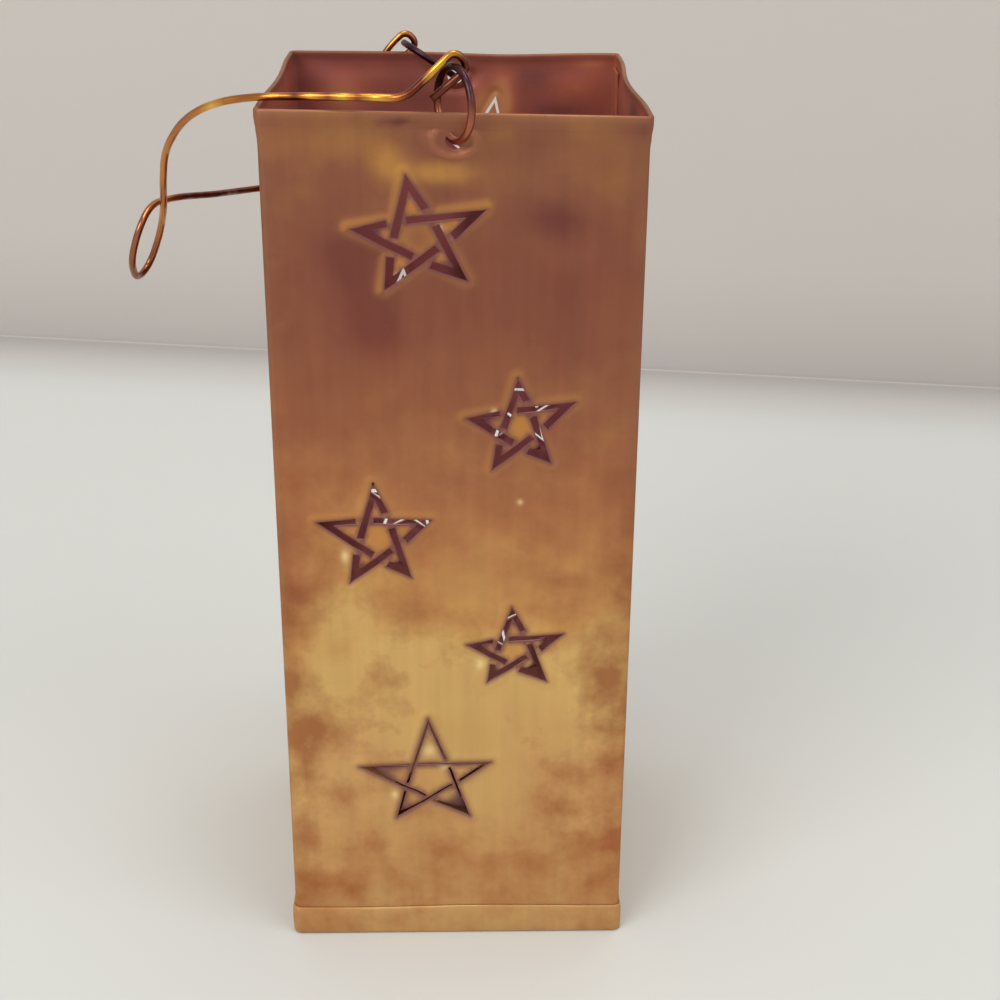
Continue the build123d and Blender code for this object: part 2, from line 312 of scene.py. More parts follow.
def flat_wall(wall_stars, holes, details):
    """One wall of the flat sheet, cut in triangles round its slits and holes.

    A coarse grid covers the wall and a finer one the inside of each star, with rows
    along its outline. Each detail is a centre, the radius it clears and the radii of
    the circles of places it gets instead. Places near a hole's edge give way to it.
    """
    bend = np.linspace(flat_half, quarter_half, 4)[1:]
    columns = np.linspace(-flat_half, flat_half, int(2 * flat_half / coarse_step) + 1)
    columns = np.concatenate([-bend[::-1], columns, bend])
    rows = np.concatenate([
        np.linspace(foot, fold_start - coarse_step, int(fold_start / coarse_step)),
        fold_start - np.array(below_fold),
        np.linspace(fold_start, fold_end, 7),
        np.linspace(fold_end, hem_end, 3)[1:],
    ])
    grid = np.stack(np.meshgrid(columns, rows), 2).reshape(-1, 2)
    fine = np.stack(np.meshgrid(
        np.arange(-flat_half + fine_step, flat_half, fine_step),
        np.arange(foot + fine_step, fold_start - fine_step, fine_step * fine_row_share),
    ), 2)
    fine[1::2, :, 0] += fine_step / 2
    fine = fine[:, :-1].reshape(-1, 2)
    fine_kept = np.zeros(len(fine), bool)
    near_fine = np.zeros(len(grid), bool)
    borders = []
    for slits, points, outline in wall_stars:
        middle = outline.mean(0)
        zone = np.linalg.norm(outline - middle, axis=1).max() + star_margin
        in_zone = np.linalg.norm(fine - middle, axis=1) < zone
        near = fine[in_zone]
        near_row = np.zeros(len(fine), bool)
        near_row[in_zone] = distance_to(near, outline) < border_rows[-1]
        near_row[in_zone] &= ~within(near, outline)
        fine_kept |= in_zone & ~near_row
        near_fine |= np.linalg.norm(grid - middle, axis=1) < zone + fine_step / 2
        borders += [beside(outline, offset, edge_step) for offset in border_rows]
    at_fold = grid[:, 1] > fold_start - fold_rows
    places = np.concatenate([grid[~near_fine | at_fold], fine[fine_kept], *borders])
    for centre, cleared, radii in details:
        far = np.linalg.norm(places - centre, axis=1) > cleared
        rings = np.concatenate([circle(centre, r, 30 if r > 2 else 12) for r in radii])
        rings = rings[rings[:, 1] < fold_start - rings_stop]
        at_fold = places[:, 1] > fold_start - fold_rows
        places = np.concatenate([places[far | at_fold], rings])
    places = places[(np.abs(places[:, 0]) <= quarter_half) & (places[:, 1] >= foot)]
    outlines = [stepped(slit, edge_step) for slits, points, outline in wall_stars for slit in slits]
    outlines += [stepped(hole, edge_step) for hole in holes]
    clear = np.ones(len(places), bool)
    for outline in outlines:
        clear &= distance_to(places, outline) > edge_clearance
        clear &= ~within(places, outline)
    places = places[clear]
    edges = []
    count = len(places)
    for outline in outlines:
        index = count + np.arange(len(outline))
        edges.append(np.stack([index, np.roll(index, -1)], 1))
        count += len(outline)
    places = np.concatenate([places] + outlines)
    edges = np.concatenate(edges)
    found = delaunay_2d_cdt(places.tolist(), edges.tolist(), [], 0, 1e-5, False)
    places = np.array([tuple(p) for p in found[0]])
    faces = np.array([f for f in found[2]])
    middles = places[faces].mean(1)
    keep = np.ones(len(faces), bool)
    for outline in outlines:
        keep &= ~within(middles, outline)
    return places, faces[keep]


# Hand-made unevenness: how far each corner of the rim sinks below the tallest,
# from the front left round to the right, and the depth and phase of each wall's waves.
# Both set in or end between two heights.
rim_sinks = np.array([0.0, 1.5, 0.7, 0.3])
sink_rise = (180, 226)
wall_waves = [(0.30, 0.4), (0.35, 2.1), (0.25, 3.9), (0.35, 5.2)]
wave_rise = (12, 50)
wave_fall = (190, 226)

# The shallow dip in the rear rim: its depth, place and half width.
dip_depth, dip_place, dip_half = 0.6, -14, 16


def wall_lift(places, wall):
    """How far the sheet stands out of the flat, the marks that its working left, and the
    painted light and shade of its stars and of the ring's lip.

    Low waves fade towards the bends, the foot and the rim. A ridge
    exp(-((d - place) / width)^2) follows each star's outline at distance d and is painted
    lighter as a painted highlight. A point goes in by a power of the share of its length
    past its hinge, and is painted a purple shade when it goes in far. A wide lip
    exp(-((r - radius) / lip)^2) stands round the ring's hole, painted lighter as a
    painted highlight, and a ripple outside the left of the fourth star. The wall swells to
    meet the hem's lower edge, and the rims of the side walls bow in by
    (1 - (u / half)^2)^2. The painted purple shade is exp(-(e / width)^2) at distance e
    from a slit, and the painted golden highlight of the border is exp(-(d / border)^2).
    """
    u, t = places.T
    depth, phase = wall_waves[wall]
    window = (1 - np.clip(u / flat_half, -1, 1) ** 2) ** 2
    window *= ease(t, *wave_rise) * (1 - ease(t, *wave_fall))
    wave = np.sin(t / 21 + phase) * np.cos(u / 17 - phase) + 0.6 * np.sin(t / 47 - 2 * phase)
    lift = depth * window * wave
    bow = np.clip(1 - (u / bow_half) ** 2, 0, 1) ** 2
    lift -= side_bows[wall] * bow * ease(t, *bow_rise)
    lift += hem_flush * ease(t, *flush_rise) * (1 - ease(t, *flush_fall))
    lift -= hem_tuck * ease(t, hem_end - hem_taper, hem_end)
    bead_and_highlight = np.zeros(len(places))
    pushed_shade = np.zeros(len(places))
    star_highlight = np.zeros(len(places))
    slit_shade = np.zeros(len(places))
    pushes_here = point_pushes * (1.0 if wall == 0 else other_push)
    for star, pushes, marks in zip(stars[wall], pushes_here, star_light_and_shade):
        slits, points, outline = star
        on_star, round_it, border, middle_highlight, shade_width = marks
        d = distance_to(places, outline)
        outside = ~within(places, outline)
        # The bead along the outline, also painted lighter as a painted highlight.
        beaded = np.exp(-((d - bead_place) / bead_width) ** 2)
        bead_and_highlight = np.maximum(bead_and_highlight, beaded * outside)
        lift -= dish_depth * ease(d, *dish_slope) * ~outside
        # Painted purple shade along the slits.
        edge = np.min([distance_to(places, slit) for slit in slits], 0)
        slit_shade = np.maximum(slit_shade, np.exp(-((edge / shade_width) ** 2)))
        point_shade = np.zeros(len(places))
        for (tip, inward, beside_u, beside_v, hinge, reach), push in zip(points, pushes):
            offset = places - tip
            between = (offset @ beside_u < 0) & (offset @ beside_v < 0)
            share = (hinge - offset @ inward) / (hinge - reach)
            share = np.clip(share, 0, 1.1) * between * (offset @ inward > 0)
            lift -= push * share ** push_power
            # A point pushed in far enough is painted a purple shade.
            shade_share = np.clip((push - shade_from) / shade_span, 0, 1)
            point_shade = np.maximum(point_shade, shade_share * ease(share, 0.05, 0.5))
        pushed_shade = np.maximum(pushed_shade, point_shade)
        # Painted golden highlight on the star's points and middle, and on the upper sides round its
        # outline.
        r = np.linalg.norm(places - outline.mean(0), axis=1)
        near_middle = np.exp(-((r / middle_reach) ** 2))
        point_highlight = on_star * (1 - point_shade) + middle_highlight * near_middle
        faces_up = (distance_to(places + up_step, outline) - d) / up_step_length
        upper = 0.1 + 0.9 * ease(faces_up, -0.1, 0.8)
        outline_highlight = round_it * np.exp(-((d / border) ** 2)) * upper
        star_highlight = np.maximum(star_highlight, np.where(outside, outline_highlight, point_highlight))
        if wall == 0 and star is stars[0][3]:
            left = (places - outline.mean(0)) @ ripple_side / np.maximum(r, 1.0)
            ripple = np.exp(-(((d - ripple_place) / ripple_width) ** 2))
            lift += ripple_height * ripple * outside * ease(left, 0.5, 0.9)
    lift += bead_height * bead_and_highlight
    # The lip round the ring's hole, also painted lighter as a painted highlight.
    lip_and_highlight = np.zeros(len(places))
    if wall in (0, 2):
        r = np.linalg.norm((places - ring_hole) / (crater_stretch, 1), axis=1)
        lip_and_highlight = np.exp(-(((r - crater_radius) / crater_lip) ** 2))
        lip_and_highlight *= 1 - ease(t, *crater_top)
        lift += crater_height * lip_and_highlight
    return lift, bead_and_highlight, pushed_shade, slit_shade, lip_and_highlight, np.clip(star_highlight, 0, 1)


def wrapped(places, lift, wall):
    """Bends a wall's places round the square and over the hem's fold.

    Along the wall it is straight, then an arc about the bend's centre. Up the wall it
    is straight, then half a turn outwards at the fold, then straight down.
    """
    u, t = places.T
    turn = np.clip((t - fold_start) / fold_radius, 0, math.pi)
    out = fold_radius * (1 - np.cos(turn)) + lift
    z = np.minimum(t, fold_start) + fold_radius * np.sin(turn) - np.maximum(t - fold_end, 0)
    bend = np.clip(np.abs(u) - flat_half, 0, None) / bend_radius * np.sign(u)
    x = np.clip(u, -flat_half, flat_half) + (bend_radius + out) * np.sin(bend)
    y = -flat_half - (bend_radius + out) * np.cos(bend)
    for _ in range(wall):
        x, y = -y, x
    right, back = (x / wall_half + 1) / 2, (y / wall_half + 1) / 2
    sink = (rim_sinks[0] * (1 - right) + rim_sinks[1] * right) * (1 - back)
    sink += (rim_sinks[3] * (1 - right) + rim_sinks[2] * right) * back
    if wall == 2:
        sink += dip_depth * np.exp(-(((u - dip_place) / dip_half) ** 2))
    return np.stack([x, y, z - sink * ease(z, *sink_rise)], 1)


# Blotches of patina on the front wall: across, up, half width, half height, all in
# millimetres, then the change towards dark red or towards gold.
blotches = np.array([
    (-40, 105, 4.4, 3.6, -0.35), (-10, 101, 4.9, 3.6, -0.40), (26, 110, 6.8, 2.9, -0.50),
    (30, 102, 4.9, 2.3, -0.25), (-38, 67, 4.4, 5.1, -0.35), (-22, 67, 6.8, 2.3, -0.30),
    (41, 86, 2.9, 11.3, -0.20), (28, 40, 3.7, 3.9, -0.60), (-40, 51, 2.7, 5.1, -0.40),
    (-23, 33, 2.7, 6.2, -0.35), (-35, 16, 7.3, 3.9, -0.60), (-15, 18, 4.4, 4.1, -0.35),
    (43, 31, 2.5, 4.9, -0.65), (18, 20, 14.6, 4.6, -0.25), (-44, 79, 2.4, 9.3, -0.25),
    (-31, 89, 7.3, 9.3, 0.35), (10, 78, 14.6, 7.7, 0.40), (-6, 34, 13.6, 4.1, 0.40),
    (-32, 35, 5.3, 6.7, 0.30), (6, 110, 9.7, 5.1, 0.35), (26, 63, 5.8, 13.4, 0.15),
    (-23, 191, 7.5, 8.0, -1.00), (-19, 177, 6.5, 7.5, -1.10), (24, 203, 7.0, 4.8, -1.00),
    (26, 185, 5.8, 5.6, -0.35), (-30, 196, 6.3, 3.9, -0.25), (26, 173, 6.3, 6.7, -0.25),
    (-32, 163, 7.3, 4.4, -0.20), (-13, 226, 3.0, 1.1, -1.10), (19, 222, 6.3, 3.3, -0.25),
    (43, 225, 2.3, 2.4, -0.55), (3, 179, 12.6, 4.4, -0.12), (-4, 214, 8.0, 2.6, 0.95),
    (-15, 216, 4.0, 4.0, 0.80), (-27, 220, 12.6, 5.0, 0.30), (11, 223, 6.3, 2.8, 0.20),
    (37, 211, 4.2, 13.3, 0.08), (-40, 194, 3.7, 16.7, 0.15), (20, 159, 6.3, 5.6, 0.10),
    (-7, 147, 10.5, 7.8, 0.20), (39, 148, 6.3, 6.7, 0.25), (3, 64, 12.0, 7.0, 1.00),
    (6, 46, 14.0, 6.0, 0.95), (37, 101, 5.0, 7.0, 0.40), (38, 81, 5.0, 6.0, -0.70),
    (33, 121, 7.0, 6.0, 0.30), (38, 47, 4.0, 6.0, 0.30),
])

# Patches of painted light and shade on the inside of the rear wall under its rim, where
# the red is lighter or darker, in the same order.
rear_light_and_shade = np.array([
    (32, 216, 7.0, 6.0, 1.20), (-13.5, 215.5, 3.2, 7.0, 1.35), (-8, 214, 4.5, 6.0, 1.15),
    (-33, 218.5, 6.0, 3.0, 0.50), (-38, 225, 5.0, 1.6, 0.55), (10, 215, 6.0, 3.0, -0.25),
    (-29, 212, 7.0, 2.2, -0.45), (-22, 222, 5.0, 1.8, -0.30), (40, 224, 4.0, 2.5, 0.25),
])


# The front's blotches on the other walls: the turn from side to side, and the moves
# across and up. On the rear wall its own patches of painted light and shade take over
# between the rim heights, over a painted shade that darkens it towards the rim.
# Beside the bends the sheet is browner, over a width and below two heights.
mark_turns = (1, -1, 1, -1)
mark_moves = np.array([(0, 0), (9, -17), (-14, 12), (5, 23)])
rim_patches = (190, 205)
rim_red_shade = 0.4
bend_brown, bend_brown_width = 0.5, 9
bend_brown_fall = (110, 165)


def spread(u, t, marks):
    """The sum of marks on a wall, each its amount times exp(-r^2) in its half sizes."""
    across = (u[:, None] - marks[:, 0]) / marks[:, 2]
    up = (t[:, None] - marks[:, 1]) / marks[:, 3]
    return (marks[:, 4] * np.exp(-(across ** 2 + up ** 2))).sum(1)


def patina_and_light(places, wall):
    """The spread of a wall's blotches and, under the rear rim, of painted light and shade,
    and the browner sheet beside its low bends.

    The hem continues the wall that it is folded over.
    """
    u, t = places.T
    fold_middle = (fold_start + fold_end) / 2
    t = fold_middle - np.abs(t - fold_middle)
    across, up = mark_moves[wall]
    total = spread(u * mark_turns[wall] + across, t + up, blotches)
    if wall == 2:
        near_rim = ease(t, *rim_patches)
        total = total * (1 - near_rim) - rim_red_shade * near_rim + spread(u, t, rear_light_and_shade)
    by_bend = np.exp(-(((quarter_half - np.abs(u)) / bend_brown_width) ** 2))
    return total - bend_brown * by_bend * (1 - ease(t, *bend_brown_fall))


# Painted glints on the front wall, small highlights beside the cuts: across, up, half
# width, half height, amount.
painted_glints = np.array([
    (-3.4, 200.8, 0.7, 0.9, 0.8), (-13.6, 188.9, 0.8, 0.7, 0.9), (16.0, 131.1, 0.7, 0.7, 0.8),
    (9.4, 155.3, 0.7, 0.7, 1.0), (-28.0, 116.4, 1.0, 1.8, 0.9), (6.1, 85.2, 1.0, 1.5, 1.0),
    (-16.7, 45.5, 1.0, 1.4, 0.8), (-7.4, 58.9, 1.6, 1.6, 0.8), (-3.2, 53.9, 1.5, 1.0, 0.6),
])


def glint_spread(places, wall):
    """The spread of the painted glints, which only the front wall has."""
    return spread(*places.T, painted_glints) if wall == 0 else np.zeros(len(places))


ring_holes = [circle(ring_hole, ring_hole_radius, 30)]
ring_detail = [(ring_hole, 7.4, (2.5, 2.9, 3.3, 3.7, 4.1, 4.6, 5.2, 5.9, 6.6))]
glint_details = [(glint_row[:2], 2.0, (0.01, 0.5, 1.0, 1.6)) for glint_row in painted_glints]
seam_holes = [circle(place, rivet_hole_radius, 14) for place in rivet_places] + [seam_slot]
walls = [
    flat_wall(stars[0], ring_holes, ring_detail + glint_details),
    flat_wall(stars[1], seam_holes, []),
    flat_wall(stars[2], ring_holes, ring_detail),
    flat_wall(stars[3], [], []),
]

# Wear of the bends and the rim, partly a painted highlight: its strength, and its width
# on the bends.
wear_and_highlight, wear_width = 0.35, 0.9
skin, traits, triangles, count = [], [], [], 0
for wall, (places, faces) in enumerate(walls):
    lift, bead_and_highlight, pushed_shade, slit_shade, lip_and_highlight, star_highlight = wall_lift(places, wall)
    skin.append(wrapped(places, lift, wall))
    bends = wear_and_highlight * np.exp(-((quarter_half - np.abs(places[:, 0])) / wear_width) ** 2)
    rim = wear_and_highlight * ease(places[:, 1], fold_start - 0.3, fold_start + 0.3)
    rim *= 1 - ease(places[:, 1], fold_end, fold_end + 0.8)
    hem = places[:, 1] > fold_start - 0.1
    traits.append(np.stack([
        bead_and_highlight, pushed_shade, slit_shade, np.maximum(bends, rim), patina_and_light(places, wall),
        lip_and_highlight, star_highlight, glint_spread(places, wall), ~hem,
    ], 1))
    triangles.append(faces + count)
    count += len(places)
skin, traits, triangles = map(np.concatenate, (skin, traits, triangles))
_, first, same = np.unique(
    np.round(skin, 3), axis=0, return_index=True, return_inverse=True
)
skin, traits, triangles = skin[first], traits[first], same.reshape(-1)[triangles]


def normals_of(places, faces):
    """A unit normal at each place: the sum of its triangles' area vectors, made unit."""
    a, b, c = places[faces].transpose(1, 0, 2)
    area = np.cross(b - a, c - a)
    total = np.zeros_like(places)
    for corner in range(3):
        np.add.at(total, faces[:, corner], area)
    return unit(total)


def thick_sheet(places, faces, thickness):
    """Two skins half a thickness either side of a surface, joined at each free edge."""
    step = normals_of(places, faces) * thickness / 2
    sides = faces[:, [[0, 1], [1, 2], [2, 0]]].reshape(-1, 2)
    ordered = np.sort(sides, axis=1)
    _, index, times = np.unique(ordered, axis=0, return_index=True, return_counts=True)
    free = sides[index[times == 1]]
    n = len(places)
    rim = np.stack([free[:, 1], free[:, 0], free[:, 0] + n, free[:, 1] + n], 1)
    return np.concatenate([places + step, places - step]), faces, faces[:, ::-1] + n, rim


# The sheet as it is seen is a hair thinner than the solid's.
thinning = 0.04
seen_sheet = sheet - thinning
outer, front_faces, back_faces, rim_faces = thick_sheet(skin, triangles, seen_sheet)


def new_mesh(name, places, faces, traits=None, smooth_below=40):
    """A mesh object from places in millimetres, its faces and its named traits."""
    mesh = bpy.data.meshes.new(name)
    mesh.from_pydata((places * mm).tolist(), [], faces)
    for trait, values in (traits or {}).items():
        attribute = mesh.attributes.new(trait, "FLOAT", "POINT")
        attribute.data.foreach_set("value", values.astype(np.float32))
    mesh.shade_smooth()
    mesh.set_sharp_from_angle(angle=math.radians(smooth_below))
    mesh.validate()
    obj = bpy.data.objects.new(name, mesh)
    bpy.context.scene.collection.objects.link(obj)
    return obj


trait_names = ("bead_and_highlight", "pushed_shade", "slit_edge_shade", "worn_and_lit", "patina_and_light", "lip_and_highlight", "star_highlight", "glint")
both = {name: np.tile(traits[:, i], 2) for i, name in enumerate(trait_names)}
both["inside"] = np.concatenate([np.zeros(len(skin)), traits[:, -1]])
body = new_mesh(
    "punched_sheet", outer,
    front_faces.tolist() + back_faces.tolist() + rim_faces.tolist(), both,
)


def linear(code):
    """An sRGB hex colour as linear red, green, blue and full alpha."""
    parts = np.array([int(code[i:i + 2], 16) / 255 for i in (1, 3, 5)])
    parts = np.where(parts <= 0.04045, parts / 12.92, ((parts + 0.055) / 1.055) ** 2.4)
    return (*parts, 1.0)


def add(tree, kind, links=None, stops=(), **settings):
    """Adds a node. links maps a socket to a value or to another node's output.

    stops are the places and colours of a colour ramp.
    """
    node = tree.nodes.new(kind)
    for name, value in settings.items():
        setattr(node, name, value)
    for _ in stops[2:]:
        node.color_ramp.elements.new(0.5)
    for element, (place, code) in zip(node.color_ramp.elements if stops else (), stops):
        element.position = place
        element.color = linear(code)
    for socket, value in (links or {}).items():
        if isinstance(value, bpy.types.NodeSocket):
            tree.links.new(value, node.inputs[socket])
        else:
            node.inputs[socket].default_value = value
    return node


def new_material(name):
    """An empty node material with its Principled shader."""
    material = bpy.data.materials.new(name)
    material.use_nodes = True
    return material, material.node_tree, material.node_tree.nodes["Principled BSDF"]


def layered(tree, colour, layers):
    """Colours laid one over another, each by its share times its strength."""
    for share, strength, over in layers:
        by = add(tree, "ShaderNodeMath", {0: share, 1: strength}, operation="MULTIPLY")
        over = linear(over) if isinstance(over, str) else over
        colour = add(tree, "ShaderNodeMix", {
            0: by.outputs[0], 6: colour, 7: over,
        }, data_type="RGBA").outputs[2]
    return colour


# Aged copper sheet: rolled, flamed and left to tarnish. It is brown and red near the
# mouth and golden below, partly tarnish and partly a painted reflection of the pale
# table. Painted golden highlights lie on the stars, and painted purple shade along their
# slits and on pushed-in points. The inside is red with the light it holds.
# The sizes of its patterns are in millimetres. The marks of the rolls and the grain
# are finer than 0.1 on real sheet, and are drawn coarser so that they show.
cloud_size = 31.25
mottle_size = 9.524
roll_width, roll_length = 3.03, 50.0
grain_size = 2.381
drift_reach = 0.10

copper, tree, shader = new_material("aged_copper_sheet")
place = add(tree, "ShaderNodeTexCoord").outputs["Object"]
height = add(tree, "ShaderNodeSeparateXYZ", {0: place}).outputs["Z"]
cloud = add(tree, "ShaderNodeTexNoise", {
    "Vector": place, "Scale": 1 / (cloud_size * mm), "Detail": 5.0, "Roughness": 0.6,
}).outputs["Fac"]
mottle = add(tree, "ShaderNodeTexNoise", {
    "Vector": place, "Scale": 1 / (mottle_size * mm), "Detail": 4.0, "Roughness": 0.55,
}).outputs["Fac"]
across_rolls, along_rolls = 1 / (roll_width * mm), 1 / (roll_length * mm)
stretch = add(tree, "ShaderNodeMapping", {
    "Vector": place, "Scale": (across_rolls, across_rolls, along_rolls),
})
brush = add(tree, "ShaderNodeTexNoise", {
    "Vector": stretch.outputs[0], "Scale": 1.0, "Detail": 2.0,
}).outputs["Fac"]
cloudy = add(tree, "ShaderNodeMath", {0: cloud, 1: 0.5}, operation="SUBTRACT").outputs[0]
mottled = add(tree, "ShaderNodeMath", {0: mottle, 1: 0.5}, operation="SUBTRACT").outputs[0]

# How high a place is, as a share of the body, moved a little by the clouds.
drift = add(tree, "ShaderNodeMath", {
    0: cloudy, 1: drift_reach, 2: height,
}, operation="MULTIPLY_ADD").outputs[0]
share = add(tree, "ShaderNodeMapRange", {
    "Value": drift, "From Min": 0.0, "From Max": wall_height * mm,
}).outputs[0]
# Partly tarnish and partly a painted reflection of the pale table, which makes the lower walls
# golden.
tone_and_reflection = add(tree, "ShaderNodeValToRGB", {"Fac": share}, stops=[
    (0.00, "#c99b63"), (0.12, "#c08a55"), (0.22, "#d0a066"), (0.36, "#d8b06c"),
    (0.45, "#cb9558"), (0.54, "#b77a4c"), (0.66, "#9e6243"), (0.80, "#8d533e"),
    (1.00, "#905a40"),
]).outputs["Color"]

# The patina: the blotches set by hand, broken up by the clouds and the mottles.
blotch = add(tree, "ShaderNodeAttribute", attribute_name="patina_and_light").outputs["Fac"]
low = add(tree, "ShaderNodeMapRange", {
    "Value": share, "From Min": 0.75, "From Max": 0.35, "To Min": 0.3, "To Max": 1.9,
}).outputs[0]
amount = add(tree, "ShaderNodeMath", {
    0: cloudy, 1: 1.1, 2: blotch,
}, operation="MULTIPLY_ADD").outputs[0]
amount = add(tree, "ShaderNodeMath", {
    0: mottled, 1: low, 2: amount,
}, operation="MULTIPLY_ADD").outputs[0]
darker = add(tree, "ShaderNodeMapRange", {
    "Value": amount, "From Min": 0.05, "From Max": -0.75,
}).outputs[0]
lighter = add(tree, "ShaderNodeMapRange", {
    "Value": amount, "From Min": 0.05, "From Max": 0.8,
}).outputs[0]
tarnish = layered(tree, linear("#a85c2c"), [(share, 1.0, "#6a3436")])
sheen = layered(tree, linear("#d6b070"), [(share, 1.0, "#c48a42")])
colour = layered(tree, tone_and_reflection, [(darker, 0.75, tarnish), (lighter, 0.75, sheen)])
streak = add(tree, "ShaderNodeMapRange", {
    "Value": brush, "From Min": 0.3, "From Max": 0.7, "To Min": 0.955, "To Max": 1.045,
}).outputs[0]
streak = add(tree, "ShaderNodeCombineColor", {0: streak, 1: streak, 2: streak}).outputs[0]
colour = add(tree, "ShaderNodeMix", {
    0: 1.0, 6: colour, 7: streak,
}, data_type="RGBA", blend_type="MULTIPLY").outputs[2]

# Painted golden highlights on the stars, the bead, the ring's lip and the glints, wear
# that is partly a painted highlight, painted purple shade along the slits and on
# pushed-in points, and the red light that the inside holds.
held_light = add(tree, "ShaderNodeValToRGB", {"Fac": share}, stops=[
    (0.00, "#ffd6d8"), (0.30, "#f8bcc4"), (0.62, "#d98f98"), (0.80, "#bc6c6c"),
    (0.95, "#a85641"),
]).outputs["Color"]
held_light = layered(tree, held_light, [
    (darker, 0.9, "#68322e"), (lighter, 0.8, "#c98a5c"),
])
marks = [
    ("star_highlight", 0.85, "#c88a42"), ("bead_and_highlight", 0.12, "#c9974e"), ("worn_and_lit", 0.30, "#c89a64"),
    ("lip_and_highlight", 0.25, "#c4805f"), ("slit_edge_shade", 0.85, "#76464a"),
    ("pushed_shade", 0.88, "#62363e"), ("inside", 0.90, held_light),
    ("glint", 0.85, "#f4d79a"),
]
trait_values = {
    trait: add(tree, "ShaderNodeAttribute", attribute_name=trait).outputs["Fac"]
    for trait, _, _ in marks
}
colour = layered(tree, colour, [
    (trait_values[trait], strength, over) for trait, strength, over in marks
])
tree.links.new(colour, shader.inputs["Base Color"])
gloss = add(tree, "ShaderNodeMapRange", {
    "Value": amount, "From Min": -0.6, "From Max": 0.6, "To Min": 0.62, "To Max": 0.42,
})
tree.links.new(gloss.outputs[0], shader.inputs["Roughness"])
metal = add(tree, "ShaderNodeMapRange", {
    "Value": trait_values["inside"], "To Min": 0.7, "To Max": 0.2,
})
tree.links.new(metal.outputs[0], shader.inputs["Metallic"])
grain = add(tree, "ShaderNodeTexNoise", {
    "Vector": place, "Scale": 1 / (grain_size * mm), "Detail": 2.0,
})
bump = add(tree, "ShaderNodeBump", {
    "Height": grain.outputs["Fac"], "Strength": 0.2, "Distance": 0.0002,
})
tree.links.new(bump.outputs[0], shader.inputs["Normal"])
body.data.materials.append(copper)

# The lap inside the right wall is the other end of the same sheet.
lap_low, lap_high, lap_in, lap_out = 34.0, 44.3, 43.8, 44.38
lap_foot, lap_top = 0.8, 223.4
lap_edge = 0.2
lap_rows = np.linspace(lap_foot, lap_top, 60)
lap_section = np.array([
    (lap_out, lap_low), (lap_out, lap_high), (lap_in + lap_edge, lap_high),
    (lap_in, lap_high - lap_edge), (lap_in, lap_low + lap_edge),
    (lap_in + lap_edge, lap_low),
])


def swept_up(section, rows):
    """A closed section (x, y) carried straight up through the rows, its ends closed."""
    n, m = len(section), len(rows)
    places = np.concatenate([np.tile(section, (m, 1)), np.repeat(rows, n)[:, None]], 1)
    j, i = np.meshgrid(np.arange(m - 1), np.arange(n), indexing="ij")
    a, b = j * n + i, j * n + (i + 1) % n
    faces = np.stack([a, b, b + n, a + n], 2).reshape(-1, 4).tolist()
    return places, faces + [list(range(n))[::-1], [(m - 1) * n + k for k in range(n)]]


lap_places, lap_faces = swept_up(lap_section, lap_rows)
lap = new_mesh("lap_flange", lap_places, lap_faces, {"inside": np.ones(len(lap_places))})
lap.data.materials.append(copper)
for piece in (body, lap):
    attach(piece, "lantern")
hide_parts("wrapped_body")
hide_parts("wrapped_body")


# Base pan
# A shallow tray of the same sheet, folded up round the foot of the body. Its lower
# edge is rounded by hand and its flange is a little uneven.

pan_half = 45.7
pan_inner = 45.1
pan_corner = 2.3
pan_top = 9.0
pan_hole = 1.55
pan_sink = 2.35
side_count = 24
corner_count = 6


def square_ring(half, radius, height, along):
    """A rounded square at one height: straight sides, and arcs of the given radius.

    along is the share of each side, and of each arc, at which its places lie.
    """
    sides, arcs = along
    rings = []
    for quarter in range(4):
        flat = half - radius
        x = np.concatenate([sides * flat, flat + radius * np.sin(arcs)])
        y = np.concatenate([np.full(len(sides), -half), -flat - radius * np.cos(arcs)])
        for _ in range(quarter):
            x, y = -y, x
        rings.append(np.stack([x, y, np.full(len(x), height)], 1))
    return np.concatenate(rings)


along = (
    np.linspace(-1, 1, side_count, endpoint=False),
    np.linspace(0, math.pi / 2, corner_count, endpoint=False),
)

# Half width, corner radius and height of each ring of the pan: out under the floor,
# up the flange, over its top, and back in across the floor to the rivet's hole.
pan_profile = [
    (pan_sink, pan_sink, 0.0), (12, 11, 0.0), (30, 14, 0.0), (43.6, 2.0, 0.0),
    (44.7, 1.3, 0.0), (45.2, 1.8, 0.13), (45.55, 2.15, 0.45),
    (pan_half, pan_corner, 1.0), (pan_half, pan_corner, 3.5), (pan_half, pan_corner, 5.5),
    (pan_half - 0.07, pan_corner - 0.07, 7.3), (pan_half - 0.2, pan_corner - 0.2, 8.4),
    (pan_half - 0.36, pan_corner - 0.36, 8.85),
    (pan_half - 0.56, pan_corner - 0.56, pan_top), (pan_inner, 1.7, 8.9),
    (pan_inner, 1.7, 4.0), (pan_inner, 1.7, sheet), (30, 14, sheet), (12, 11, sheet),
    (pan_hole, pan_hole, sheet),
]
rings = [square_ring(half, radius, z, along) for half, radius, z in pan_profile]
pan_places = np.concatenate(rings)
per_ring = len(rings[0])
j, i = np.meshgrid(np.arange(len(rings)), np.arange(per_ring), indexing="ij")
this_row, next_row = j * per_ring, (j + 1) % len(rings) * per_ring
beside_it = (i + 1) % per_ring
pan_faces = np.stack([
    this_row + i, this_row + beside_it, next_row + beside_it, next_row + i,
], 2).reshape(-1, 4)

